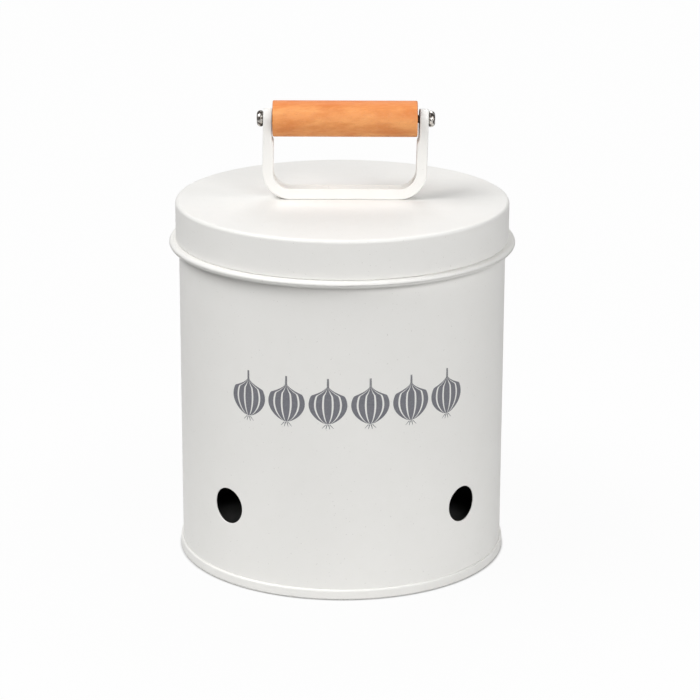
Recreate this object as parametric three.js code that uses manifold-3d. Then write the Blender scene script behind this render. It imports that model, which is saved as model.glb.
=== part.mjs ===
// A ventilated storage tin for onions: a round sheet-steel body with a swaged bead, a seamed base,
// a slip-on lid that rests on the bead, and a wooden grip held in a pressed channel bracket.
// Lengths are millimetres. Z is up, the tin stands on Z = 0 about the Z axis, and its front faces -Y.
import * as THREE from "three";
import { mergeVertices } from "three/addons/utils/BufferGeometryUtils.js";
import Module from "manifold-3d";

const wasm = await Module();
wasm.setup();

// Clearances and counts that every piece shares
const seatGap = 0.3; // left between two pieces that touch
const cutOverrun = 1; // how far a cutting solid runs past what it cuts
const weldDistance = 0.001; // points closer than this are one point
const shellSides = 72; // flat sides of the tin's round sheets
const smallSides = 32; // flat sides of screws, rivets and holes
const arcSteps = 3; // straight steps in a rounded corner
const quarterTurn = Math.PI / 2;

// Tin body
const wallRadius = 81.2; // outside of the wall and of the neck above it
const wallSheet = 0.6;
const beadHeight = 160; // middle of the bead above the table
const beadReach = 4.8; // how far the bead stands out from the wall
const beadThickness = 3.3;
const beadFillet = 1; // where the wall turns into the bead
const neckRise = 13.5; // neck above the top of the bead
const mouthHem = 3; // height of the folded edge at the mouth
const ventRadius = 9;
const ventHeight = 40.3; // middle of the vents above the table
const ventCount = 4;
const ventTurn = THREE.MathUtils.degToRad(2); // how far the vents stand off the diagonals

// Base disc with its seam
const baseSheet = 0.8;
const seamHeight = 5.5;
const baseRecess = 3.8; // underside of the panel above the table
const panelFillet = 0.9;

// Lid cap
const lidSheet = 0.6;
const lidPlay = 0.4; // between the neck and the hem inside the skirt
const skirtHeight = 19.25;
const lidEdgeRadius = 1.7;
const skirtHem = 3.5; // height of the folded edge at the foot of the skirt

// Wooden grip
const gripLength = 71.7;
const gripRadius = 8.9;
const gripChamfer = 0.5;
const gripPlay = 0.4; // between each end of the grip and its arm
const gripRise = 39.9; // axis of the grip above the lid's top face

// Channel bracket that carries the grip
const channelDepth = 5.35; // from the web's outer face to the flanges' free edges
const armDepth = 4.4; // the same beside the grip, where the flanges clear its ends
const armTaper = 2.5; // height below the grip over which the flanges deepen again
const channelWidth = 10;
const channelSheet = 1.2;
const channelBend = 8.6; // radius of the free edges at the two bends
const channelFold = 1; // outside radius along the folds
const handleOffset = 1.5; // how far the whole handle stands right of the lid's middle

// Screws that hold the grip
const screwRadius = 2;
const screwLength = 24;
const screwTip = 3; // length of the cone at the end
const screwHeadRadius = 4;
const screwHeadHeight = 3.1;
const screwHeadEdge = 1.8;
const recessLength = 4.4;
const recessWidth = 1.1;
const recessDepth = 1.5;

// Rivets that hold the bracket to the lid
const rivetRadius = 1.6;
const rivetSpacing = 34;
const rivetHeadRadius = 3.2;
const rivetHeadHeight = 1.3;
const rivetTailRadius = 2.8;
const rivetTailHeight = 1.1;
const rivetEdge = 0.8;

// Places that follow from the sizes
const wallInside = wallRadius - wallSheet;
const beadRadius = wallRadius + beadReach;
const lidRadius = wallRadius + lidPlay + 2 * lidSheet;
const beadTop = beadHeight + beadThickness / 2;
const mouthTop = beadTop + neckRise;
const wallFoot = baseSheet + seatGap;
const skirtFoot = beadTop + seatGap;
const lidTop = skirtFoot + skirtHeight;
const bracketFoot = lidTop + seatGap;
const bracketFloor = bracketFoot + channelSheet;
const flangeTop = bracketFoot + channelDepth;
const gripAxis = lidTop + gripRise;
const gripFoot = gripAxis - gripRadius - gripPlay;
const armInside = gripLength / 2 + gripPlay;
const armOutside = armInside + armDepth;
const channelInside = armOutside - channelDepth;
const screwSeat = armOutside + seatGap;
const gripBoreDepth = gripLength / 2 - (screwSeat - screwLength - seatGap);
const screwHole = screwRadius + seatGap;
const rivetHole = rivetRadius + seatGap;

// Points round an outline whose corners are [x, y] or, for a rounded one, [x, y, radius]
function roundedOutline(corners) {
  const points = [];
  corners.forEach(([x, y, radius = 0], i) => {
    const corner = new THREE.Vector2(x, y);
    if (radius === 0) {
      points.push(corner);
      return;
    }
    const before = new THREE.Vector2(...corners.at(i - 1));
    const after = new THREE.Vector2(...corners[(i + 1) % corners.length]);
    const back = before.sub(corner).normalize();
    const ahead = after.sub(corner).normalize();
    const halfAngle = Math.acos(back.dot(ahead)) / 2;
    const middle = back.clone().add(ahead).normalize();
    const centre = corner.clone().addScaledVector(middle, radius / Math.sin(halfAngle));
    const start = corner.clone().addScaledVector(back, radius / Math.tan(halfAngle));
    const sweep = (Math.PI - 2 * halfAngle) * -Math.sign(back.cross(ahead));
    for (let step = 0; step <= arcSteps; step++) {
      points.push(start.clone().rotateAround(centre, (sweep * step) / arcSteps));
    }
  });
  return points;
}

// A piece turned about Z from an outline of [radius, height] corners that starts and ends on the axis
function turned(corners, sides) {
  return new THREE.LatheGeometry(roundedOutline(corners), sides).rotateX(quarterTurn);
}

// A ring turned about Z from a closed outline that stays clear of the axis
function turnedRing(corners, sides) {
  const points = roundedOutline(corners);
  points.push(points[0].clone());
  return new THREE.LatheGeometry(points, sides).rotateX(quarterTurn);
}

// A round bar along Z that starts at the origin and runs up
function roundBar(radius, length, sides) {
  return turned([[0, 0], [radius, 0], [radius, length], [0, length]], sides);
}

// An outline in the XZ plane, given depth along Y about the middle plane
function plateAcross(shape, depth, fold = 0) {
  const plate = new THREE.ExtrudeGeometry(shape, {
    depth: depth - 2 * fold,
    bevelEnabled: fold > 0,
    bevelThickness: fold,
    bevelSize: fold,
    bevelOffset: -fold,
    bevelSegments: arcSteps,
  });
  return plate.rotateX(quarterTurn).translate(0, depth / 2 - fold, 0);
}

function solidOf(geometry) {
  const bare = geometry.clone();
  bare.deleteAttribute("normal");
  bare.deleteAttribute("uv");
  const merged = mergeVertices(bare, weldDistance);
  const mesh = new wasm.Mesh({
    numProp: 3,
    vertProperties: merged.attributes.position.array,
    triVerts: new Uint32Array(merged.index.array),
  });
  return new wasm.Manifold(mesh);
}

function geometryOf(solid) {
  const mesh = solid.getMesh();
  const geometry = new THREE.BufferGeometry();
  geometry.setAttribute("position", new THREE.BufferAttribute(new Float32Array(mesh.vertProperties), 3));
  geometry.setIndex(new THREE.BufferAttribute(new Uint32Array(mesh.triVerts), 1));
  geometry.computeVertexNormals();
  return geometry;
}

// What is left of one solid once each cutter is taken out of it
function cutBy(solid, cutters) {
  return cutters.reduce((left, cutter) => left.subtract(solidOf(cutter)), solid);
}

function part(name, geometry, finish) {
  const mesh = new THREE.Mesh(geometry, new THREE.MeshStandardMaterial(finish));
  mesh.name = name;
  return mesh;
}

const coatFinish = { color: 0xe9e8e5, roughness: 0.38, metalness: 0 };
const woodFinish = { color: 0xd98a4c, roughness: 0.55, metalness: 0 };
const nickelFinish = { color: 0xb9b6b1, roughness: 0.22, metalness: 1 };
const rivetFinish = { color: 0xdcdad6, roughness: 0.45, metalness: 0 };

// Body: one sheet that rises as the wall, folds out and back as the bead, and rises again as the neck
function bodyShell() {
  const low = beadHeight - beadThickness / 2;
  const half = beadThickness / 2;
  const innerBend = beadFillet + wallSheet;
  const shell = turnedRing(
    [
      [wallRadius, wallFoot],
      [wallRadius, low, beadFillet],
      [beadRadius, low, half],
      [beadRadius, beadTop, half],
      [wallRadius, beadTop, beadFillet],
      [wallRadius, mouthTop, wallSheet],
      [wallInside - wallSheet, mouthTop, wallSheet],
      [wallInside - wallSheet, mouthTop - mouthHem],
      [wallInside, mouthTop - mouthHem],
      [wallInside, beadTop - wallSheet, innerBend],
      [beadRadius - wallSheet, beadTop - wallSheet, half - wallSheet],
      [beadRadius - wallSheet, low + wallSheet, half - wallSheet],
      [wallInside, low + wallSheet, innerBend],
      [wallInside, wallFoot],
    ],
    shellSides,
  );
  const vents = [];
  for (let i = 0; i < ventCount; i++) {
    const turn = ventTurn + ((i + 0.5) / ventCount) * 2 * Math.PI;
    const punch = roundBar(ventRadius, wallRadius + cutOverrun, smallSides);
    vents.push(punch.rotateX(quarterTurn).rotateZ(turn).translate(0, 0, ventHeight));
  }
  return part("body_shell", geometryOf(cutBy(solidOf(shell), vents)), coatFinish);
}

// Base: a recessed panel whose edge turns down, then up round the foot of the wall as the seam
function baseDisc() {
  const outerFace = wallRadius + seatGap + baseSheet;
  const grooveOutside = wallRadius + seatGap;
  const grooveInside = wallInside - seatGap;
  const legInside = grooveInside - baseSheet;
  const panelTop = baseRecess + baseSheet;
  const disc = turned(
    [
      [0, baseRecess],
      [legInside, baseRecess, panelFillet],
      [legInside, 0, baseSheet],
      [outerFace, 0, baseSheet],
      [outerFace, seamHeight, baseSheet / 2],
      [grooveOutside, seamHeight, baseSheet / 4],
      [grooveOutside, baseSheet],
      [grooveInside, baseSheet],
      [grooveInside, panelTop, panelFillet],
      [0, panelTop],
    ],
    shellSides,
  );
  return part("base_disc", disc, coatFinish);
}

// The two places, from the handle's middle, where a rivet joins the bracket to the lid
const rivetPlaces = { left: -rivetSpacing / 2, right: rivetSpacing / 2 };

function rivetPunches(from, to) {
  return Object.values(rivetPlaces).map((x) => {
    const punch = roundBar(rivetHole, to - from, smallSides);
    return punch.translate(x, 0, from);
  });
}

// Lid: a flat top with a rounded edge and a skirt that ends in an inward hem
function lidCap() {
  const inside = lidRadius - lidSheet;
  const hemInside = inside - lidSheet;
  const cap = turned(
    [
      [0, lidTop - lidSheet],
      [inside, lidTop - lidSheet, lidEdgeRadius - lidSheet],
      [inside, skirtFoot + skirtHem],
      [hemInside, skirtFoot + skirtHem],
      [hemInside, skirtFoot, lidSheet],
      [lidRadius, skirtFoot, lidSheet],
      [lidRadius, lidTop, lidEdgeRadius],
      [0, lidTop],
    ],
    shellSides,
  );
  const punches = rivetPunches(lidTop - lidSheet - cutOverrun, lidTop + cutOverrun);
  punches.forEach((punch) => punch.translate(handleOffset, 0, 0));
  return part("lid_cap", geometryOf(cutBy(solidOf(cap), punches)), coatFinish);
}

// A U seen from the front, with the corners inside its right arm given from the top down
function uShape(outer, foot, top, outerBend, inside) {
  const leftInside = inside.map(([x, ...rest]) => [-x, ...rest]).reverse();
  return new THREE.Shape(
    roundedOutline([
      [-outer, top],
      [-outer, foot, outerBend],
      [outer, foot, outerBend],
      [outer, top],
      ...inside,
      ...leftInside,
    ]),
  );
}

// A strip along X, seen from the side: straight up to the grip's axis, then a full round about it
function roundEndedStrip(halfWidth, foot) {
  const side = new THREE.Shape(
    roundedOutline([
      [-halfWidth, foot],
      [halfWidth, foot],
      [halfWidth, gripAxis + halfWidth, halfWidth],
      [-halfWidth, gripAxis + halfWidth, halfWidth],
    ]),
  );
  const reach = 2 * (armOutside + cutOverrun);
  return plateAcross(side, reach).rotateZ(quarterTurn);
}

// Bracket: a channel bent into a U, its flanges facing the grip and closing round the arms' ends
function handleBracket() {
  const top = gripAxis + channelWidth;
  const outerBend = channelBend + channelDepth;
  const block = plateAcross(
    uShape(armOutside, bracketFoot, top, outerBend, [
      [armInside, top],
      [armInside, gripFoot],
      [channelInside, gripFoot - armTaper],
      [channelInside, flangeTop, channelBend],
    ]),
    channelWidth,
    channelFold,
  );
  const pocketWidth = channelWidth - 2 * channelSheet;
  const pocket = plateAcross(
    uShape(armOutside - channelSheet, bracketFloor, top, outerBend - channelSheet, [
      [channelInside - cutOverrun, top],
      [channelInside - cutOverrun, flangeTop + cutOverrun, channelBend - cutOverrun],
    ]),
    pocketWidth,
  );
  const outerStrip = roundEndedStrip(channelWidth / 2, bracketFoot - cutOverrun);
  const outside = solidOf(block).intersect(solidOf(outerStrip));
  const hollow = solidOf(pocket).intersect(solidOf(roundEndedStrip(pocketWidth / 2, bracketFoot)));
  const reach = armOutside + cutOverrun;
  const screwPunch = roundBar(screwHole, 2 * reach, smallSides).rotateY(quarterTurn);
  const punches = rivetPunches(bracketFoot - cutOverrun, bracketFloor + cutOverrun);
  punches.push(screwPunch.translate(-reach, 0, gripAxis));
  return part("handle_bracket", geometryOf(cutBy(outside.subtract(hollow), punches)), coatFinish);
}

// Grip: a turned dowel with a blind bore in each end for its screw
function woodGrip() {
  const end = gripLength / 2;
  const boreEnd = end - gripBoreDepth;
  const rim = gripRadius - gripChamfer;
  const dowel = turned(
    [
      [0, -boreEnd],
      [screwHole, -boreEnd],
      [screwHole, -end],
      [rim, -end],
      [gripRadius, gripChamfer - end],
      [gripRadius, end - gripChamfer],
      [rim, end],
      [screwHole, end],
      [screwHole, boreEnd],
      [0, boreEnd],
    ],
    shellSides,
  );
  const grip = part("wood_grip", dowel, woodFinish);
  grip.rotation.y = quarterTurn;
  grip.position.z = gripAxis;
  return grip;
}

// Screw: a pan head with a cross recess, whose seat is at its own origin and whose head points up
function screwGeometry() {
  const screw = turned(
    [
      [0, -screwLength],
      [screwRadius, screwTip - screwLength],
      [screwRadius, 0],
      [screwHeadRadius, 0],
      [screwHeadRadius, screwHeadHeight, screwHeadEdge],
      [0, screwHeadHeight],
    ],
    smallSides,
  );
  const slotHeight = recessDepth + cutOverrun;
  const slotMiddle = screwHeadHeight - recessDepth + slotHeight / 2;
  const slot = new THREE.BoxGeometry(recessLength, recessWidth, slotHeight).translate(0, 0, slotMiddle);
  return geometryOf(cutBy(solidOf(screw), [slot, slot.clone().rotateZ(quarterTurn)]));
}

function gripScrew(name, side) {
  const screw = part(name, screwGeometry(), nickelFinish);
  screw.rotation.y = side * quarterTurn;
  screw.position.set(side * screwSeat, 0, gripAxis);
  return screw;
}

// Rivet: a set head inside the channel, a shank through the web and the lid, a tail under the lid
function bracketRivet(name, x) {
  const headFoot = bracketFloor + seatGap;
  const tailTop = lidTop - lidSheet - seatGap;
  const tailFoot = tailTop - rivetTailHeight;
  const headTop = headFoot + rivetHeadHeight;
  const rivet = turned(
    [
      [0, tailFoot],
      [rivetTailRadius, tailFoot, rivetEdge],
      [rivetTailRadius, tailTop],
      [rivetRadius, tailTop],
      [rivetRadius, headFoot],
      [rivetHeadRadius, headFoot],
      [rivetHeadRadius, headTop, rivetEdge],
      [0, headTop],
    ],
    smallSides,
  );
  const mesh = part(name, rivet, rivetFinish);
  mesh.position.x = x;
  return mesh;
}

const tin = new THREE.Group();
tin.add(bodyShell(), baseDisc());

const grip = new THREE.Group();
grip.add(woodGrip(), gripScrew("grip_screw_left", -1), gripScrew("grip_screw_right", 1));

const handle = new THREE.Group();
handle.position.x = handleOffset;
handle.add(handleBracket(), grip);
for (const [side, x] of Object.entries(rivetPlaces)) {
  handle.add(bracketRivet("bracket_rivet_" + side, x));
}

const lid = new THREE.Group();
lid.add(lidCap(), handle);

const onionTin = new THREE.Group();
onionTin.add(tin, lid);

export default onionTin;
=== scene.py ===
# The dressed onion tin: white coated sheet steel, a turned wooden grip and plated screws.
# Lengths are millimetres until a mesh is made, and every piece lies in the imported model's frame.
# Turns about the tin are measured from its front round towards its right.
import math

import bpy
from mathutils import Matrix, Vector


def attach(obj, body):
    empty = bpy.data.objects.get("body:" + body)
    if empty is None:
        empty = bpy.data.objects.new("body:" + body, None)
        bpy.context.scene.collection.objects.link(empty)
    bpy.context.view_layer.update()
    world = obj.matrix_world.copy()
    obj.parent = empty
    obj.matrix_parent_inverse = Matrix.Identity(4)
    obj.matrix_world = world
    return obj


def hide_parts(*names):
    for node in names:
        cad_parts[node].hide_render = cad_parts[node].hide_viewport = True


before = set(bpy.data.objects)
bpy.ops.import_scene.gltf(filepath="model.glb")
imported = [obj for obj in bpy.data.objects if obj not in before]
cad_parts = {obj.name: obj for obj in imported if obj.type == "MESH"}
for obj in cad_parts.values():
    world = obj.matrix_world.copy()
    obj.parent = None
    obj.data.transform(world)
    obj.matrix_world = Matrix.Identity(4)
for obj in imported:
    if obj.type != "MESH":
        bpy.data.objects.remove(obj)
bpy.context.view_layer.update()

MM = 0.001

# The body, one sheet with a bead and a mouth that is folded in; radii are those of the outside
WALL = 81.2
SHEET = 0.6
INNER_WALL = WALL - SHEET
WALL_FOOT = 1.1
BEAD = 86.0
BEAD_LOW = 158.35
BEAD_HIGH = 161.65
BEAD_ROUND = (BEAD_HIGH - BEAD_LOW) / 2
FILLET_UNDER_BEAD = 1.0
FILLET_OVER_BEAD = 0.75
FILLET_INSIDE_BEAD = 1.6
MOUTH = 175.15
MOUTH_ROUND = 0.6
MOUTH_FOLD = 3.0
LEVELS_UNDER_VENTS = (WALL_FOOT, 6.0, 16.0)
LEVELS_OVER_VENTS = (70.0, 100.0, 130.0)

# The vents: each is a round hole in a square patch of the wall, which is counted in columns of a degree
COLUMNS = 360
VENT = 9.0
VENT_MIDDLE = 40.3
VENT_TURNS = (47, 137, 227, 317)
PATCH_REACH = 9  # columns from a vent's middle to its patch's edge
PATCH_HALF = math.radians(PATCH_REACH) * WALL
OUTER_RINGS = (0.72, 0.48, 0.26, 0.1)  # shares of the way from the hole's edge to the patch's
INNER_RINGS = (0.15, 0.5)
# Depth below the wall's face and how much wider the hole is there: rounded, straight, eased inside
VENT_EDGE = (
    (0.0, 0.22),
    (0.02, 0.13),
    (0.07, 0.06),
    (0.15, 0.015),
    (0.25, 0.0),
    (SHEET - 0.1, 0.0),
    (SHEET, 0.1),
)

# The base, whose seam is folded round the foot of the wall
BASE_SHEET = 0.8
BASE_UNDERSIDE = 3.8
PANEL_ROUND = 0.9
RING_INSIDE = 79.5
RING_ROUND = 0.8
SEAM_FACE = WALL + 0.3 + BASE_SHEET
SEAM_FOOT_ROUND = 0.9
SEAM_TOP = 5.2  # 0.3 mm lower than the solid's, which fits the photograph better
SEAM_TOP_ROUND = 1.0
SEAM_LIP_RADIUS = WALL + 0.02
SEAM_LIP_ROUND = 0.2
SEAM_FLOOR = 1.0
BASE_COLUMNS = 240

# The lid
LID = 82.8
LID_FOOT = 161.68
LID_FOOT_ROUND = 0.75
LID_TOP = 181.2
LID_TOP_ROUND = 1.7
LID_INSIDE_ROUND = 1.1
LID_HEM = 3.5  # how far the skirt's edge is folded up inside
LID_HEM_ROUND = 0.4
LID_COLUMNS = 240

# The handle's place, and the wooden grip
GRIP_AXIS = 221.1
HANDLE_MIDDLE = 1.5  # how far the handle stands right of the tin's axis
GRIP_MIDDLE = 1.25  # the wood ends 0.5 mm short of the solid on the right, as the dark slit there shows
GRIP_HALF = 35.6
GRIP_RADIUS = 8.9
GRIP_END_ROUND = 0.7
GRIP_COLUMNS = 128
BORE_RADIUS = 2.1
BORE_ROUND = 0.2
BORE_DEPTH = 19.0

# The bracket, a strip with a raised rim that is bent into a U; its depth is that of the rim
BRACKET_FOOT = 181.22
BRACKET_SHEET = 1.2
BRACKET_DEPTH = 5.35
BRACKET_BEND = 13.95  # outside radius of the two bends
BRACKET_LEAN = 0.02  # how far the arms lean to the right for each unit of height
LEAN_LEVEL = 213.0  # where the leaning arms stand evenly about the handle's middle
ARM_OUTSIDE = 40.65
ARM_TIP_DEPTH = 4.4  # of the rim beside the grip
BACK_TIP_DEPTH = 4.75  # the same at the back of the right arm, where no light comes through the slit
TIP_END = 9.3  # how far below the screws the rim starts to grow to its full depth
TIP_RUN_OUT = 2.6  # over what length it grows
ARM_LENGTH = GRIP_AXIS - BRACKET_FOOT - BRACKET_BEND
BEND_LENGTH = BRACKET_BEND * math.pi / 2
FOOT_LENGTH = 2 * (ARM_OUTSIDE - BRACKET_BEND)
STRIP_LENGTH = 2 * (ARM_LENGTH + BEND_LENGTH) + FOOT_LENGTH
STRIP_HALF_WIDTH = 5.0
RIM_SHEET = 1.1
RIM_ROUND = 0.5
FOLD_OUTSIDE_ROUND = 0.8
FOLD_INSIDE_ROUND = 1.1
FACE_HALF = 3.5  # half width of the strip's flat outer face, out to the folds
CHANNEL_HALF = 2.7  # the same inside the channel
SCREW_HOLE = 2.35
HOLE_TURNS = (0, 11.25, 22.5, 33.75, 45)  # degrees from across the strip to its diagonal
HOLE_STOPS = [FACE_HALF * math.tan(math.radians(turn)) for turn in HOLE_TURNS]
HOLE_SHARES = (0.5, 0, -0.5)  # of the flat face's half width, on the side away from the strip's end
FACE_SHARES = (-1, -0.5, 0, 0.5, 1)
ARM_STOPS = (5.5, 7.5, 9.2, 9.7, 10.3, 11.0, 11.6, 12.0, 16.0, 21.0)
BEND_STEPS = 16
BESIDE_BEND = 0.4
FOOT_STOP = 9.0
END_STEPS = 24

# The rivets in the channel
RIVETS = (("left", -17), ("right", 17))
RIVET_LOW = 179.2
RIVET_TAIL = 2.8
RIVET_TAIL_ROUND = 0.8
RIVET_TAIL_TOP = LID_TOP - SHEET + 0.02
RIVET_SHANK = 1.6
RIVET_HEAD = 3.2
RIVET_HEAD_HEIGHT = 1.5
RIVET_SEAT_ROUND = 0.1
RIVET_DOME = 1.3
RIVET_COLUMNS = 48

# The screws, from the seat of the head
SCREW_SHANK = 2.0
SCREW_CONE = 20.6
SCREW_TIP = 23.6
SCREW_HEAD = 4.0
SCREW_HEAD_HEIGHT = 3.1
SCREW_SEAT_ROUND = 0.9
SCREW_CROWN = 1.9
SCREW_COLUMNS = 64
SCREW_SEAT_GAP = 0.08
SCREW_CREASE = 30  # degrees
RECESS_ABOVE = (0.6, 2.45, 0.62)  # height over the head's top, half length and half width of a slot
RECESS_BELOW = (-1.7, 0.95, 0.36)

# The row of bulbs that stands in for the print
BULBS = 6
BULBS_MIDDLE = 2.7  # degrees, as the span
BULBS_SPAN = 86.5
BULB_LOW = 89.9
BULB_HIGH = 112.8
BULB_HALF = 9.3
BULB_STEPS = 40
BULB_STRIPES = ((-1.0, -0.72), (-0.62, -0.3), (-0.2, 0.2), (0.3, 0.62), (0.72, 1.0))
ROOT_LEANS = (-2.0, -0.7, 0.7, 2.0)
ROOT_STEPS = 6
INK_RADIUS = WALL + 0.04

# The studio: each lamp's turn and rise in degrees, the length of its side in metres and its watts
LAMP_DISTANCE = 2.4
LAMP_TARGET = Vector((0, 0, 0.11))
LAMPS = (
    ("key_left", -60, 46, 1.2, 26.8),
    ("side_left", -88, 56, 1.2, 20.6),
    ("front_fill", 0, 22, 1.05, 12.9),
    ("front_right_fill", 28, 30, 1.05, 17.8),
    ("right_fill", 72, 20, 1.05, 16.0),
    ("back_fill", 175, 48, 1.05, 12.4),
)
AIR_STRENGTH = 0.024
MIRRORED_AIR = 0.48  # how white the air and the floor look in a glossy face, against the camera's white
MIRRORED_FLOOR = 0.6
STUDIO_HALF = 6000
STUDIO_FLOOR = -0.05
# Ranges on the floor: from and to a distance from the tin's axis, and the values there
GREY_DARKENS = (110.0, 420.0)
CONTACT_LINE = (81.8, 83.6, 0.1, 1.0)
SOFT_SHADOW = (84.0, 260.0, 0.955, 0.985)

# The camera, as fitted to the photograph: its place in metres and its angles in degrees
CAMERA_PLACE = (0.00406, -1.29574, 0.50569)
CAMERA_PITCH = 17.305
CAMERA_ROLL = 0.205
CAMERA_LENS = 138.27
CAMERA_SENSOR = 36


def shade_smooth(mesh, crease=40):
    """Smooth shading, but for edges whose faces turn by more than the crease, in degrees."""
    mesh.polygons.foreach_set("use_smooth", [True] * len(mesh.polygons))
    mesh.set_sharp_from_angle(angle=math.radians(crease))


def mesh_object(name, points, faces):
    """A new object in the scene, of points in millimetres."""
    mesh = bpy.data.meshes.new(name)
    mesh.from_pydata([Vector(p) * MM for p in points], [], faces)
    thing = bpy.data.objects.new(name, mesh)
    bpy.context.scene.collection.objects.link(thing)
    return thing


def add_piece(name, points, faces, body, nodes, finishes, tones=None):
    """A piece that rides on a body in place of CAD nodes; tones number the finish of each face."""
    piece = mesh_object(name, points, faces)
    piece.data.validate()
    shade_smooth(piece.data)
    for finish in finishes:
        piece.data.materials.append(finish)
    if tones:
        piece.data.polygons.foreach_set("material_index", tones)
    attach(piece, body)
    if nodes:
        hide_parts(*nodes)
    return piece


def weld(points, faces, distance=0.0005):
    """The same mesh with points that share a place made one."""
    known = {}
    where = []
    kept = []
    for p in points:
        key = tuple(round(c / distance) for c in p)
        if key not in known:
            known[key] = len(kept)
            kept.append(p)
        where.append(known[key])
    sewn = []
    for face in faces:
        corners = tuple(dict.fromkeys(where[i] for i in face))
        if len(corners) > 2:
            sewn.append(corners)
    return kept, sewn


def rounded(corners, steps=6, support=0.25):
    """An open outline of (x, y) or, for a rounded corner, (x, y, radius).

    Each round has a close point beside it, so that smooth shading keeps the flats flat.
    """
    out = []
    for i, corner in enumerate(corners):
        here = Vector(corner[:2])
        if len(corner) == 2:
            out.append(here)
            continue
        radius = corner[2]
        back = Vector(corners[i - 1][:2]) - here
        ahead = Vector(corners[i + 1][:2]) - here
        room_back, room_ahead = back.length, ahead.length
        back.normalize()
        ahead.normalize()
        half = math.acos(max(-1, min(1, back.dot(ahead)))) / 2
        reach = radius / math.tan(half)
        centre = here + (back + ahead).normalized() * (radius / math.sin(half))
        arm = here + back * reach - centre
        turn = -math.copysign(math.pi - 2 * half, back.cross(ahead))
        if room_back > reach + 4 * support:
            out.append(here + back * (reach + support))
        for k in range(steps + 1):
            cos, sin = math.cos(turn * k / steps), math.sin(turn * k / steps)
            out.append(centre + Vector((arm.x * cos - arm.y * sin, arm.x * sin + arm.y * cos)))
        if room_ahead > reach + 4 * support:
            out.append(here + ahead * (reach + support))
    return out


def on_wall(radius, turn, height):
    """A point on a round wall, turned in radians from the front towards the right."""
    return (radius * math.sin(turn), -radius * math.cos(turn), height)


def band(low, high):
    """The faces between two closed rings of point numbers."""
    count = len(low)
    return [(low[k], low[(k + 1) % count], high[(k + 1) % count], high[k]) for k in range(count)]


def turned(profile, columns):
    """Points and faces of a profile of (radius, height) turned about Z; a point on the axis closes an end."""
    points = []
    rows = []
    for r, z in profile:
        if abs(r) < 1e-6:
            rows.append([len(points)] * columns)
            points.append((0, 0, z))
            continue
        rows.append(list(range(len(points), len(points) + columns)))
        points += [on_wall(r, 2 * math.pi * c / columns, z) for c in range(columns)]
    faces = []
    for low, high in zip(rows, rows[1:]):
        for quad in band(low, high):
            face = tuple(v for k, v in enumerate(quad) if v != quad[k - 1])
            if len(face) > 2:
                faces.append(face)
    return points, faces


def moved(points, matrix):
    """The points as a matrix places them."""
    return [tuple(matrix @ Vector(p)) for p in points]


class Value:
    """An output that takes part in sums and products, which add Math nodes."""

    def __init__(self, recipe, socket):
        self.recipe = recipe
        self.socket = socket

    def _math(self, operation, *values):
        return self.recipe.add("ShaderNodeMath", {"operation": operation}, dict(enumerate(values)))

    def __add__(self, other):
        return self._math("ADD", self, other)

    def __radd__(self, other):
        return self._math("ADD", other, self)

    def __sub__(self, other):
        return self._math("SUBTRACT", self, other)

    def __rsub__(self, other):
        return self._math("SUBTRACT", other, self)

    def __mul__(self, other):
        return self._math("MULTIPLY", self, other)

    def __rmul__(self, other):
        return self._math("MULTIPLY", other, self)

    def or_larger(self, other):
        return self._math("MAXIMUM", self, other)

    def size(self):
        return self._math("ABSOLUTE", self)

    def wave(self):
        return self._math("SINE", self)


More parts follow.
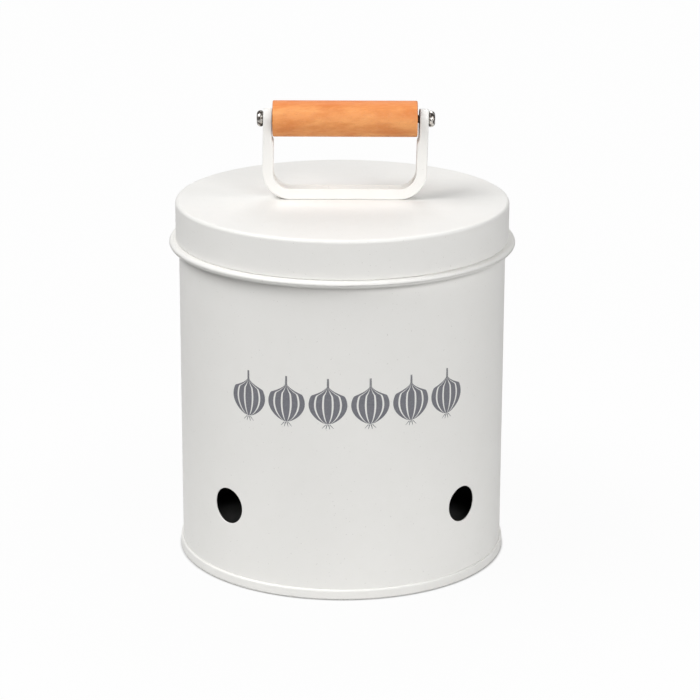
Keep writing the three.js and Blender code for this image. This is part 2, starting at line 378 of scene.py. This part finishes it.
class Recipe:
    """The nodes of a material or of the world, and the one way in which they are made."""

    def __init__(self, owner):
        owner.use_nodes = True
        self.owner = owner
        self.tree = owner.node_tree
        self.tree.nodes.clear()

    def add(self, kind, settings=None, values=None, out=0):
        """A node of that kind with its settings and its sockets' values or links; gives one output."""
        node = self.tree.nodes.new(kind)
        for key, setting in (settings or {}).items():
            setattr(node, key, setting)
        for key, value in (values or {}).items():
            if isinstance(value, Value):
                self.tree.links.new(value.socket, node.inputs[key])
            else:
                node.inputs[key].default_value = value
        return Value(self, node.outputs[out]) if node.outputs else node

    def seen_straight(self, mirrored):
        """1 for rays that the camera sends, and a share for those that a glossy face sends on."""
        camera = self.add("ShaderNodeLightPath", out="Is Camera Ray")
        glossy = self.add("ShaderNodeLightPath", out="Is Glossy Ray")
        return camera.or_larger(glossy * mirrored)

    def place(self):
        """Where a point lies on the resting piece, in millimetres."""
        spot = self.add("ShaderNodeTexCoord", out="Object")
        return self.stretch(spot, (1000, 1000, 1000))

    def stretch(self, vector, by):
        return self.add("ShaderNodeVectorMath", {"operation": "MULTIPLY"}, {0: vector, 1: by})

    def shift(self, vector, by):
        return self.add("ShaderNodeVectorMath", {"operation": "ADD"}, {0: vector, 1: by})

    def far(self, vector):
        return self.add("ShaderNodeVectorMath", {"operation": "LENGTH"}, {0: vector}, out="Value")

    def along(self, axis, vector):
        return self.add("ShaderNodeSeparateXYZ", values={0: vector}, out=axis)

    def noise(self, vector, scale, detail=2.0, roughness=0.5):
        values = {"Vector": vector, "Scale": scale, "Detail": detail, "Roughness": roughness}
        return self.add("ShaderNodeTexNoise", {"noise_dimensions": "3D"}, values)

    def spread(self, value, low, high, new_low=0.0, new_high=1.0):
        """The value's range low to high laid over another range, with smooth ends."""
        values = {0: value, 1: low, 2: high, 3: new_low, 4: new_high}
        return self.add("ShaderNodeMapRange", {"interpolation_type": "SMOOTHSTEP"}, values)

    def mix(self, share, first, second):
        """Two colours mixed by a share."""
        return self.add("ShaderNodeMix", {"data_type": "RGBA"}, {0: share, 6: first, 7: second}, out=2)

    def bump(self, height, strength):
        """A slope from a height in millimetres."""
        return self.add("ShaderNodeBump", values={"Height": height, "Distance": MM, "Strength": strength})

    def surface(self, **sockets):
        """The finish's main shader; a socket's name has underscores for its spaces."""
        values = {key.replace("_", " "): value for key, value in sockets.items()}
        shader = self.add("ShaderNodeBsdfPrincipled", values=values)
        self.add("ShaderNodeOutputMaterial", values={"Surface": shader})
        return self.owner


def new_finish(name):
    return Recipe(bpy.data.materials.new(name))


def seen(red, green, blue):
    """A colour as the eye reads it, 0 to 255, as the linear light that the shader wants."""
    linear = [((c / 255 + 0.055) / 1.055) ** 2.4 if c > 10 else c / 255 / 12.92 for c in (red, green, blue)]
    return (*linear, 1.0)


def powder_coat(name, tone, orange_peel, shine):
    """Satin white powder coat: a fine orange-peel skin, faint clouds of tone and gloss, and rare specks."""
    f = new_finish(name)
    spot = f.place()
    clouds = f.noise(spot, 0.018, 3.0, 0.55)
    patches = f.noise(f.shift(spot, (31.0, 7.0, 13.0)), 0.12, 4.0, 0.6)
    skin = f.noise(spot, 0.55, 2.0, 0.5)
    ripple = f.noise(f.shift(spot, (5.0, 50.0, 9.0)), 0.11, 1.0, 0.4)
    specks = f.spread(f.noise(spot, 1.4, 0.0), 0.8, 0.86)
    red, green, blue = tone
    clouded = f.mix(f.spread(clouds, 0.3, 0.7), seen(red - 2, green - 2, blue - 2), seen(*tone))
    patched = f.mix(f.spread(patches, 0.35, 0.8, 0.0, 0.35), clouded, seen(red - 4, green - 4, blue - 5))
    return f.surface(
        Base_Color=f.mix(specks * 0.25, patched, seen(150, 146, 140)),
        Roughness=f.spread(patches, 0.25, 0.75, 0.36, 0.46),
        Normal=f.bump(skin * (0.03 * orange_peel) + ripple * 0.06, 0.6),
        Specular_IOR_Level=shine,
    )


def inside_primer():
    """The tin's inside: dull dark grey, rubbed lighter and darker, with fine lines from rolling."""
    f = new_finish("dull_grey_inside")
    spot = f.place()
    lines = f.noise(f.stretch(spot, (0.3, 0.3, 4.0)), 0.6, 3.0, 0.6)
    clouds = f.noise(spot, 0.05, 4.0, 0.6)
    rubbed = f.mix(f.spread(clouds, 0.3, 0.7), seen(46, 46, 46), seen(56, 56, 55))
    return f.surface(
        Base_Color=f.mix(f.spread(lines, 0.45, 0.8, 0.0, 0.3), rubbed, seen(38, 38, 38)),
        Metallic=0.55,
        Roughness=f.spread(clouds, 0.3, 0.7, 0.42, 0.58),
        Normal=f.bump(lines * 0.05, 0.4),
    )


def grip_wood():
    """Orange-brown turned hardwood: slanting patches, soft fibres, a darker band painted on top as shade,
    dark end grain.
    """
    f = new_finish("turned_grip_wood")
    spot = f.place()
    slant = f.add(
        "ShaderNodeMapping",
        {"vector_type": "POINT"},
        {"Vector": spot, "Rotation": (0.0, 0.09, 0.0)},
    )
    sway = f.noise(f.stretch(slant, (0.03, 0.05, 0.05)), 1.0, 2.0, 0.5)
    across = f.shift(f.stretch(slant, (0.0, 1.0, 1.0)), (0.0, 23.0, -190.0))
    rings = ((f.far(across) + sway * 30.0) * 0.55).wave()
    patches = f.noise(f.stretch(slant, (0.055, 0.16, 0.16)), 1.0, 3.0, 0.55)
    fibres = f.noise(f.stretch(slant, (0.16, 1.1, 1.1)), 1.0, 3.0, 0.6)
    fine = f.noise(f.stretch(slant, (0.7, 4.0, 4.0)), 1.0, 2.0, 0.6)
    mottle = f.noise(f.stretch(spot, (0.5, 0.8, 0.8)), 1.0, 2.0, 0.6)
    flecks = f.spread(f.noise(f.stretch(spot, (0.9, 4.0, 4.0)), 1.0, 1.0), 0.64, 0.74)
    ringed = f.mix(f.spread(rings, -0.9, 0.95, 0.0, 0.6), seen(241, 168, 103), seen(232, 149, 84))
    patched = f.mix(f.spread(patches, 0.42, 0.7, 0.0, 0.7), ringed, seen(212, 122, 60))
    streaked = f.mix(f.spread(fibres, 0.4, 0.72, 0.0, 0.22), patched, seen(224, 134, 72))
    mottled = f.mix(f.spread(mottle, 0.42, 0.7, 0.0, 0.3), streaked, seen(232, 156, 104))
    grained = f.mix(f.spread(fine, 0.45, 0.75, 0.0, 0.14), mottled, seen(178, 108, 62))
    flecked = f.mix(flecks * 0.25, grained, seen(160, 96, 54))
    # Painted shade: a darker, deeper orange band along the top of the grip as it rests.
    edge = f.along("Z", spot) + (fibres - 0.5) * 3.0
    painted_top_shade = f.spread(edge, GRIP_AXIS + 4.5, GRIP_AXIS + GRIP_RADIUS, 0.0, 0.55)
    with_painted_top_shade = f.mix(painted_top_shade, flecked, seen(212, 114, 52))
    from_middle = (f.along("X", spot) - GRIP_MIDDLE).size()
    at_end = f.spread(from_middle, GRIP_HALF - 0.06, GRIP_HALF - 0.02)
    pores = f.noise(spot, 1.6, 3.0, 0.7)
    end_grain = f.mix(f.spread(pores, 0.35, 0.7), seen(150, 84, 44), seen(104, 54, 28))
    return f.surface(
        Base_Color=f.mix(at_end, with_painted_top_shade, end_grain),
        Roughness=f.spread(fibres, 0.3, 0.7, 0.5, 0.64),
        Normal=f.bump(fibres * 0.05 + fine * 0.03 - flecks * 0.02, 0.5),
        Specular_IOR_Level=0.3,
    )


def plated_steel():
    """Bright nickel on a pressed screw, with fine lines, rougher spots that are painted dark as reflections,
    and painted shade on the shank inside the arms.
    """
    f = new_finish("nickel_plate")
    spot = f.place()
    lines = f.noise(f.stretch(spot, (9.0, 1.2, 1.2)), 1.0, 2.0, 0.6)
    # Painted reflections: dark patches on the plate; the same spots are also rougher.
    dull_spots_and_painted_reflections = f.noise(spot, 0.42, 2.0, 0.55)
    plate = f.mix(f.spread(dull_spots_and_painted_reflections, 0.4, 0.54), seen(222, 218, 212), seen(84, 78, 74))
    # Painted shade: the shank inside the arms, in the slit beside the grip, is painted near black.
    from_middle = (f.along("X", spot) - HANDLE_MIDDLE).size()
    headed = f.spread(from_middle, ARM_OUTSIDE - 1.0, ARM_OUTSIDE - 0.6)
    return f.surface(
        Base_Color=f.mix(headed, seen(34, 31, 29), plate),
        Metallic=1.0,
        Roughness=f.spread(dull_spots_and_painted_reflections, 0.3, 0.7, 0.16, 0.3),
        Normal=f.bump(lines * 0.02, 0.3),
    )


def figure_ink():
    """Grey ink, slightly uneven where it took less on the coat."""
    f = new_finish("grey_figure_ink")
    spot = f.place()
    thin = f.noise(spot, 1.1, 3.0, 0.65)
    return f.surface(
        Base_Color=f.mix(f.spread(thin, 0.3, 0.75), seen(108, 109, 116), seen(124, 124, 130)),
        Roughness=f.spread(thin, 0.3, 0.7, 0.42, 0.55),
        Normal=f.bump(thin * 0.02, 0.4),
    )


coat = powder_coat("white_powder_coat", (238, 237, 234), 1.0, 0.32)
bracket_coat = powder_coat("white_bracket_coat", (241, 240, 237), 0.5, 0.4)
primer = inside_primer()
wood = grip_wood()
nickel = plated_steel()
ink = figure_ink()


def body_outline():
    """The body's sheet from the foot of the wall up the outside, and from the mouth down the inside."""
    low, high = BEAD_LOW + SHEET, BEAD_HIGH - SHEET
    outside = rounded(
        [
            (WALL, WALL_FOOT),
            (WALL, BEAD_LOW, FILLET_UNDER_BEAD),
            (BEAD, BEAD_LOW, BEAD_ROUND),
            (BEAD, BEAD_HIGH, BEAD_ROUND),
            (WALL, BEAD_HIGH, FILLET_OVER_BEAD),
            (WALL, MOUTH, MOUTH_ROUND),
            (INNER_WALL - SHEET, MOUTH, MOUTH_ROUND),
            (INNER_WALL - SHEET, MOUTH - MOUTH_FOLD),
        ],
        steps=8,
    )
    inside = rounded(
        [
            (INNER_WALL, MOUTH - MOUTH_FOLD),
            (INNER_WALL, high, FILLET_INSIDE_BEAD),
            (BEAD - SHEET, high, BEAD_ROUND - SHEET),
            (BEAD - SHEET, low, BEAD_ROUND - SHEET),
            (INNER_WALL, low, FILLET_INSIDE_BEAD),
            (INNER_WALL, WALL_FOOT),
        ]
    )
    return outside, inside


def patch_border():
    """The steps (across, up) from a vent's middle to each point of its patch's edge, once round."""
    reach = PATCH_REACH
    border = [(k, -reach) for k in range(-reach, reach)]
    border += [(reach, k) for k in range(-reach, reach)]
    border += [(-k, reach) for k in range(-reach, reach)]
    border += [(-reach, -k) for k in range(-reach, reach)]
    return border


def vent_ring(turn, radius, hole, share=0.0):
    """Points round a vent on a wall's radius, a share of the way from the hole's edge to the patch's."""
    ring = []
    for across, rise in patch_border():
        length = math.hypot(across, rise)
        near = math.radians(turn) + math.asin(hole * across / length / radius)
        far = math.radians(turn + across)
        near_height = VENT_MIDDLE + hole * rise / length
        far_height = VENT_MIDDLE + PATCH_HALF * rise / PATCH_REACH
        height = near_height + (far_height - near_height) * share
        ring.append(on_wall(radius, near + (far - near) * share, height))
    return ring


def tin_body():
    """The body's sheet, with its four punched vents."""
    levels = [VENT_MIDDLE + PATCH_HALF * k / PATCH_REACH for k in range(-PATCH_REACH, PATCH_REACH + 1)]
    heights = [*LEVELS_UNDER_VENTS, *levels, *LEVELS_OVER_VENTS]
    outside, inside = body_outline()
    rows = [(WALL, z) for z in heights]
    rows += outside[1:]
    turn_over = len(rows)
    rows += inside[:-1]
    first_outer = len(LEVELS_UNDER_VENTS)
    first_inner = len(rows) + len(LEVELS_OVER_VENTS)
    rows += [(INNER_WALL, z) for z in reversed(heights)]
    points = [on_wall(r, math.radians(c), z) for r, z in rows for c in range(COLUMNS)]
    faces = []
    tones = []

    def in_patch(row, column):
        for first in (first_outer, first_inner):
            if first <= row < first + 2 * PATCH_REACH:
                return any((column - turn + PATCH_REACH) % COLUMNS < 2 * PATCH_REACH for turn in VENT_TURNS)
        return False

    def patch_edge(first, turn, way):
        """The numbers of the wall's points round a patch; the rows run down on the inside."""
        edge = []
        for across, rise in patch_border():
            row = first + PATCH_REACH + way * rise
            edge.append(row * COLUMNS + (turn + across) % COLUMNS)
        return edge

    row_ids = [range(row * COLUMNS, (row + 1) * COLUMNS) for row in range(len(rows))]
    for row, low in enumerate(row_ids):
        up = (row + 1) % len(rows)
        for column, face in enumerate(band(low, row_ids[up])):
            if not in_patch(row, column):
                faces.append(face)
                tones.append(0 if row < turn_over or up == 0 else 1)
    for turn in VENT_TURNS:
        rings = [vent_ring(turn, WALL, VENT + VENT_EDGE[0][1], share) for share in OUTER_RINGS]
        rings += [vent_ring(turn, WALL - depth, VENT + wider) for depth, wider in VENT_EDGE]
        coated = len(rings)
        rings += [vent_ring(turn, INNER_WALL, VENT + VENT_EDGE[-1][1], share) for share in INNER_RINGS]
        chain = [patch_edge(first_outer, turn, 1)]
        for ring in rings:
            chain.append(range(len(points), len(points) + len(ring)))
            points += ring
        chain.append(patch_edge(first_inner, turn, -1))
        for k, (low, high) in enumerate(zip(chain, chain[1:])):
            quads = band(low, high)
            faces += quads
            tones += [0 if k < coated else 1] * len(quads)
    piece = add_piece("tin_body", points, faces, "tin", ["body_shell"], [coat, primer], tones)


def tin_base():
    """The base: a recessed panel, the ring it stands on and the seam round the foot of the wall."""
    top = BASE_UNDERSIDE + BASE_SHEET
    ring_outside = RING_INSIDE + BASE_SHEET
    profile = rounded(
        [
            (0, BASE_UNDERSIDE),
            (RING_INSIDE, BASE_UNDERSIDE, PANEL_ROUND),
            (RING_INSIDE, 0, RING_ROUND),
            (SEAM_FACE, 0, SEAM_FOOT_ROUND),
            (SEAM_FACE, SEAM_TOP, SEAM_TOP_ROUND),
            (SEAM_LIP_RADIUS, SEAM_TOP, SEAM_LIP_ROUND),
            (SEAM_LIP_RADIUS, SEAM_FLOOR),
            (ring_outside, SEAM_FLOOR),
            (ring_outside, top, PANEL_ROUND),
            (0, top),
        ]
    )
    points, faces = turned(profile, BASE_COLUMNS)
    tones = []
    for face in faces:
        height = sum(points[i][2] for i in face) / len(face)
        radius = math.hypot(*points[face[0]][:2])
        tones.append(1 if height > BASE_UNDERSIDE + BASE_SHEET / 2 and radius < ring_outside + 0.2 else 0)
    piece = add_piece("tin_base", points, faces, "tin", ["base_disc"], [coat, primer], tones)


def lid_cap():
    """The lid: a flat top, a soft outer edge and a skirt that folds in at its foot."""
    inner = LID - SHEET
    hem_top = LID_FOOT + LID_HEM
    profile = rounded(
        [
            (0, LID_TOP - SHEET),
            (inner, LID_TOP - SHEET, LID_INSIDE_ROUND),
            (inner, hem_top),
            (inner - SHEET, hem_top),
            (inner - SHEET, LID_FOOT, LID_HEM_ROUND),
            (LID, LID_FOOT, LID_FOOT_ROUND),
            (LID, LID_TOP, LID_TOP_ROUND),
            (0, LID_TOP),
        ],
        steps=8,
    )
    points, faces = turned(profile, LID_COLUMNS)
    tones = []
    for face in faces:
        height = sum(points[i][2] for i in face) / len(face)
        radius = max(math.hypot(*points[i][:2]) for i in face)
        under_top = hem_top - 0.1 < height < LID_TOP - SHEET / 2
        tones.append(1 if under_top and radius < inner + 0.01 else 0)
    piece = add_piece("lid", points, faces, "lid", ["lid_cap"], [coat, primer], tones)


def leaning(x, z):
    """The handle's place along X, with the slight lean of its arms."""
    return HANDLE_MIDDLE + x + BRACKET_LEAN * (z - LEAN_LEVEL)


def rim_depth(inward, below_screw, tip_depth):
    """How far in a point of the rim lies, where the rim is shallower beside the grip."""
    if inward <= BRACKET_SHEET:
        return inward
    share = max(0.0, min(1.0, (below_screw - TIP_END) / TIP_RUN_OUT))
    share = share * share * (3 - 2 * share)
    depth = tip_depth + (BRACKET_DEPTH - tip_depth) * share
    full_rise = BRACKET_DEPTH - BRACKET_SHEET
    return BRACKET_SHEET + (inward - BRACKET_SHEET) * (depth - BRACKET_SHEET) / full_rise


def bent(along, across, inward, above=0.0):
    """A point of the flat strip laid round the bracket's U, from the left screw's axis to the right one's."""
    side = -1 if along < STRIP_LENGTH / 2 else 1
    s = along if side < 0 else STRIP_LENGTH - along
    tip_depth = BACK_TIP_DEPTH if side > 0 and across > 0 else ARM_TIP_DEPTH
    depth = rim_depth(inward, s - above, tip_depth)
    if s < ARM_LENGTH:
        x, z = ARM_OUTSIDE - depth, GRIP_AXIS - s + above
    elif s < ARM_LENGTH + BEND_LENGTH:
        angle = (s - ARM_LENGTH) / BRACKET_BEND
        r = BRACKET_BEND - depth
        x = ARM_OUTSIDE - BRACKET_BEND + r * math.cos(angle)
        z = BRACKET_FOOT + BRACKET_BEND - r * math.sin(angle)
    else:
        x = ARM_OUTSIDE - BRACKET_BEND - (s - ARM_LENGTH - BEND_LENGTH)
        z = BRACKET_FOOT + depth
    return (leaning(side * x, max(z, BRACKET_FOOT + BRACKET_BEND)), across, z)


def strip_stops():
    """Where the strip is cut across, from the left screw's axis to the right one's."""
    bend_end = ARM_LENGTH + BEND_LENGTH
    stops = [*HOLE_STOPS, *ARM_STOPS, ARM_LENGTH - BESIDE_BEND]
    stops += [ARM_LENGTH + BEND_LENGTH * k / BEND_STEPS for k in range(BEND_STEPS + 1)]
    stops += [bend_end + BESIDE_BEND, bend_end + FOOT_STOP, STRIP_LENGTH / 2]
    return stops + [STRIP_LENGTH - s for s in reversed(stops[:-1])]


def round_end(axis, way, width, inward):
    """The strip's round end about a screw's axis, from one edge to the other."""
    ring = []
    for k in range(END_STEPS + 1):
        angle = math.pi * k / END_STEPS
        ring.append(bent(axis, way * width * math.cos(angle), inward, width * math.sin(angle)))
    return ring


def hole_surround(width):
    """Places round a screw's hole, as (up, across) on the flat face's edge and on the hole's."""
    corner = math.pi / 2
    fan = [(math.radians(turn), stop) for turn, stop in zip(HOLE_TURNS[1:], HOLE_STOPS[1:])]
    rim = []
    for k in range(END_STEPS + 1):
        angle = math.pi * k / END_STEPS
        rim.append((angle - corner, width * math.sin(angle), -width * math.cos(angle)))
    rim += [(corner + turn, -stop, width) for turn, stop in fan]
    rim += [(math.atan2(share, -1), -HOLE_STOPS[-1], width * share) for share in HOLE_SHARES]
    rim += [(-corner - turn, -stop, -width) for turn, stop in reversed(fan)]
    return [((up, side), (SCREW_HOLE * math.cos(a), SCREW_HOLE * math.sin(a))) for a, up, side in rim]


def flat_face(width, inward):
    """The strip's flat face between its folds, with a round hole about each screw's axis."""
    quads = []
    across = [width * share for share in FACE_SHARES]
    first, last = HOLE_STOPS[-1] - 1e-6, STRIP_LENGTH - HOLE_STOPS[-1] + 1e-6
    straight = [s for s in strip_stops() if first <= s <= last]
    for a, b in zip(straight, straight[1:]):
        for u, v in zip(across, across[1:]):
            quads.append([bent(a, u, inward), bent(b, u, inward), bent(b, v, inward), bent(a, v, inward)])
    around = hole_surround(width)
    for axis, way in ((0, -1), (STRIP_LENGTH, 1)):
        for (out, hole), (next_out, next_hole) in zip(around, around[1:] + around[:1]):
            quad = [bent(axis, side, inward, up) for up, side in (out, next_out, next_hole, hole)]
            quads.append(quad if way > 0 else quad[::-1])
    return quads


def hole_walls():
    """The insides of the two screw holes, through the strip."""
    quads = []
    around = [hole for out, hole in hole_surround(FACE_HALF)]
    for axis, way in ((0, -1), (STRIP_LENGTH, 1)):
        for (up, side), (next_up, next_side) in zip(around, around[1:] + around[:1]):
            quad = [bent(axis, side, 0, up), bent(axis, next_side, 0, next_up)]
            quad += [bent(axis, next_side, BRACKET_SHEET, next_up), bent(axis, side, BRACKET_SHEET, up)]
            quads.append(quad if way > 0 else quad[::-1])
    return quads


def handle_bracket():
    """The pressed channel: a strip with a rolled rim, round at both ends and bent into a U."""
    # The rim's section from the flat outer face round the fold, up, over the edge and down inside
    section = rounded(
        [
            (FACE_HALF, 0),
            (STRIP_HALF_WIDTH, 0, FOLD_OUTSIDE_ROUND),
            (STRIP_HALF_WIDTH, BRACKET_DEPTH, RIM_ROUND),
            (STRIP_HALF_WIDTH - RIM_SHEET, BRACKET_DEPTH, RIM_ROUND),
            (STRIP_HALF_WIDTH - RIM_SHEET, BRACKET_SHEET, FOLD_INSIDE_ROUND),
            (CHANNEL_HALF, BRACKET_SHEET),
        ],
        support=0.1,
    )
    stops = strip_stops()[1:-1]
    points = []
    rings = []
    for width, inward in section:
        ring = round_end(0, -1, width, inward)
        ring += [bent(s, width, inward) for s in stops]
        ring += round_end(STRIP_LENGTH, 1, width, inward)
        ring += [bent(s, -width, inward) for s in reversed(stops)]
        rings.append(range(len(points), len(points) + len(ring)))
        points += ring
    faces = []
    for low, high in zip(rings, rings[1:]):
        faces += band(low, high)
    quads = flat_face(FACE_HALF, 0)
    quads += [quad[::-1] for quad in flat_face(CHANNEL_HALF, BRACKET_SHEET)]
    quads += hole_walls()
    for quad in quads:
        faces.append(tuple(range(len(points), len(points) + 4)))
        points += quad
    points, faces = weld(points, faces)
    piece = add_piece("bracket", points, faces, "lid", ["handle_bracket"], [bracket_coat])


def bracket_rivets():
    """Two low domed heads inside the channel, with their tails under the lid."""
    seat = BRACKET_FOOT + BRACKET_SHEET
    top = seat + RIVET_HEAD_HEIGHT
    profile = rounded(
        [
            (0, RIVET_LOW),
            (RIVET_TAIL, RIVET_LOW, RIVET_TAIL_ROUND),
            (RIVET_TAIL, RIVET_TAIL_TOP),
            (RIVET_SHANK, RIVET_TAIL_TOP),
            (RIVET_SHANK, seat),
            (RIVET_HEAD, seat, RIVET_SEAT_ROUND),
            (RIVET_HEAD, top, RIVET_DOME),
            (0, top),
        ],
        support=0.05,
    )
    points, faces = turned(profile, RIVET_COLUMNS)
    for side, x in RIVETS:
        placed = moved(points, Matrix.Translation((HANDLE_MIDDLE + x, 0, 0)))
        piece = add_piece("rivet_" + side, placed, faces, "lid", ["bracket_rivet_" + side], [bracket_coat])


def wooden_grip():
    """The turned grip, with a blind bore for a screw in each end."""
    bore = GRIP_HALF - BORE_DEPTH
    profile = rounded(
        [
            (0, -bore),
            (BORE_RADIUS, -bore),
            (BORE_RADIUS, -GRIP_HALF, BORE_ROUND),
            (GRIP_RADIUS, -GRIP_HALF, GRIP_END_ROUND),
            (GRIP_RADIUS, GRIP_HALF, GRIP_END_ROUND),
            (BORE_RADIUS, GRIP_HALF, BORE_ROUND),
            (BORE_RADIUS, bore),
            (0, bore),
        ]
    )
    points, faces = turned(profile, GRIP_COLUMNS)
    place = Matrix.Translation((GRIP_MIDDLE, 0, GRIP_AXIS)) @ Matrix.Rotation(math.pi / 2, 4, "Y")
    piece = add_piece("wood_grip_turned", moved(points, place), faces, "grip", ["wood_grip"], [wood])


def cross_recess():
    """The cutter for a cross recess: two tapered slots that point down from the head's top at the origin."""
    points = []
    faces = []
    for turn in (0, math.pi / 2):
        start = len(points)
        cos, sin = math.cos(turn), math.sin(turn)
        for z, long, wide in (RECESS_ABOVE, RECESS_BELOW):
            for u, v in ((-long, -wide), (long, -wide), (long, wide), (-long, wide)):
                points.append((u * cos - v * sin, u * sin + v * cos, z))
        for face in ((3, 2, 1, 0), (4, 5, 6, 7), (0, 1, 5, 4), (1, 2, 6, 5), (2, 3, 7, 6), (3, 0, 4, 7)):
            faces.append(tuple(start + i for i in face[::-1]))
    return points, faces


def grip_screw(name, side, recess_turn):
    """A pan-head screw with a cross recess, driven through an arm into the grip's end."""
    profile = rounded(
        [
            (0, -SCREW_TIP),
            (SCREW_SHANK, -SCREW_CONE),
            (SCREW_SHANK, 0),
            (SCREW_HEAD, 0, SCREW_SEAT_ROUND),
            (SCREW_HEAD, SCREW_HEAD_HEIGHT, SCREW_CROWN),
            (0, SCREW_HEAD_HEIGHT),
        ],
        steps=8,
        support=0.08,
    )
    points, faces = turned(profile, SCREW_COLUMNS)
    seat = leaning(side * (ARM_OUTSIDE + SCREW_SEAT_GAP), GRIP_AXIS)
    place = Matrix.Translation((seat, 0, GRIP_AXIS)) @ Matrix.Rotation(side * math.pi / 2, 4, "Y")
    piece = add_piece(name + "_headed", moved(points, place), faces, "grip", [name], [nickel])
    lift = Matrix.Translation((0, 0, SCREW_HEAD_HEIGHT))
    turn = Matrix.Rotation(math.radians(recess_turn), 4, "Z")
    points, faces = cross_recess()
    cutter = mesh_object("recess_cutter", moved(points, place @ lift @ turn), faces)
    cut = piece.modifiers.new("recess", "BOOLEAN")
    cut.operation = "DIFFERENCE"
    cut.solver = "EXACT"
    cut.object = cutter
    cut.use_self = True
    depsgraph = bpy.context.evaluated_depsgraph_get()
    result = bpy.data.meshes.new_from_object(piece.evaluated_get(depsgraph))
    piece.modifiers.clear()
    piece.data = result
    bpy.data.objects.remove(cutter)
    shade_smooth(result, SCREW_CREASE)


def bulb_half_width(t):
    """The bulb's half width at share t of the way from its root to the tip of its neck."""
    bulb = math.sin(math.pi * (t * 1.06) ** 0.86) ** 0.72 if t * 1.06 < 1 else 0.0
    neck = 0.1 + 0.05 * math.cos(t * 3)
    fade = max(0.0, min(1.0, (t - 0.62) / 0.25))
    return BULB_HALF * max(bulb * (1 - fade) ** 1.5, neck * (0.4 + 0.6 * fade) if t > 0.6 else 0.0)


def onion_band():
    """A row of plain onion bulbs in grey ink round the front of the wall, drawn as flat ribbons."""
    points = []
    faces = []

    def ribbon(centre, left, right):
        """A filled strip between two rows of (x, height) points."""
        start = len(points)
        for pair in zip(left, right):
            for x, z in pair:
                points.append(on_wall(INK_RADIUS, math.radians(centre) + x / WALL, z))
        for i in range(start, start + 2 * (len(left) - 1), 2):
            faces.append((i, i + 1, i + 3, i + 2))

    levels = [BULB_LOW + (BULB_HIGH - BULB_LOW) * k / BULB_STEPS for k in range(BULB_STEPS + 1)]
    widths = [bulb_half_width(k / BULB_STEPS) for k in range(BULB_STEPS + 1)]
    for n in range(BULBS):
        centre = BULBS_MIDDLE + BULBS_SPAN * ((n + 0.5) / BULBS - 0.5)
        for stripe in BULB_STRIPES:
            inner, outer = [[(edge * w, z) for w, z in zip(widths, levels)] for edge in stripe]
            ribbon(centre, inner, outer)
        for lean in ROOT_LEANS:
            left = []
            right = []
            for t in [k / ROOT_STEPS for k in range(ROOT_STEPS + 1)]:
                x = lean * (0.5 + 0.9 * t)
                z = BULB_LOW - 0.2 - 2.4 * t + 0.25 * abs(lean) * t
                half = 0.26 * (1 - 0.6 * t)
                left.append((x - half, z))
                right.append((x + half, z))
            ribbon(centre, right, left)
    piece = add_piece("bulb_figures", points, faces, "tin", [], [ink])


tin_body()
tin_base()
lid_cap()
handle_bracket()
bracket_rivets()
wooden_grip()
grip_screw("grip_screw_left", -1, recess_turn=28)
grip_screw("grip_screw_right", 1, recess_turn=12)
onion_band()


def studio_floor():
    """A floor that the camera sees as white, but for the tin's shadow; to bounced light it is grey."""
    f = new_finish("studio_floor")
    spot = f.place()
    away = f.far(spot)
    patches = f.mix(f.noise(spot, 0.02, 2.0), seen(190, 190, 189), seen(196, 196, 195))
    tone = f.mix(f.spread(away, *GREY_DARKENS), patches, seen(122, 122, 122))
    matte = f.add("ShaderNodeBsdfDiffuse", values={"Color": tone})
    white = f.add("ShaderNodeEmission", values={"Color": (1, 1, 1, 1), "Strength": 1.0})
    close = f.spread(away, *CONTACT_LINE) * f.spread(away, *SOFT_SHADOW)
    share = f.seen_straight(MIRRORED_FLOOR) * close
    shader = f.add("ShaderNodeMixShader", values={0: share, 1: matte, 2: white})
    f.add("ShaderNodeOutputMaterial", values={"Surface": shader})
    sides = ((-1, -1), (1, -1), (1, 1), (-1, 1))
    corners = [(STUDIO_HALF * x, STUDIO_HALF * y, STUDIO_FLOOR) for x, y in sides]
    floor = mesh_object("studio_floor", corners, [(0, 1, 2, 3)])
    floor.data.materials.append(f.owner)


def studio_air():
    """White all round to the camera, softer in reflections and faint as light."""
    world = bpy.data.worlds.new("studio_air")
    bpy.context.scene.world = world
    f = Recipe(world)
    level = f.seen_straight(MIRRORED_AIR).or_larger(AIR_STRENGTH)
    air = f.add("ShaderNodeBackground", values={"Color": (1, 1, 1, 1), "Strength": level})
    f.add("ShaderNodeOutputWorld", values={"Surface": air})


def softbox(name, turn, rise, size, watts):
    """A square lamp turned round from the front and raised, which faces the tin."""
    lamp = bpy.data.lights.new(name, "AREA")
    lamp.shape = "SQUARE"
    lamp.size = size
    lamp.energy = watts
    light = bpy.data.objects.new(name, lamp)
    bpy.context.scene.collection.objects.link(light)
    turn, rise = math.radians(turn), math.radians(rise)
    way = Vector((math.sin(turn) * math.cos(rise), -math.cos(turn) * math.cos(rise), math.sin(rise)))
    light.location = LAMP_TARGET + way * LAMP_DISTANCE
    light.rotation_mode = "QUATERNION"
    light.rotation_quaternion = way.to_track_quat("Z", "Y")


def fitted_camera():
    """The camera that shows the tin as the photograph does."""
    camera_data = bpy.data.cameras.new("camera")
    camera_data.sensor_width = CAMERA_SENSOR
    camera_data.lens = CAMERA_LENS
    camera = bpy.data.objects.new("camera", camera_data)
    bpy.context.scene.collection.objects.link(camera)
    camera.matrix_world = (
        Matrix.Translation(CAMERA_PLACE)
        @ Matrix.Rotation(math.radians(90 - CAMERA_PITCH), 4, "X")
        @ Matrix.Rotation(math.radians(CAMERA_ROLL), 4, "Z")
    )
    bpy.context.scene.camera = camera


studio_floor()
studio_air()
for lamp in LAMPS:
    softbox(*lamp)
fitted_camera()
bpy.context.scene.view_settings.view_transform = "Standard"
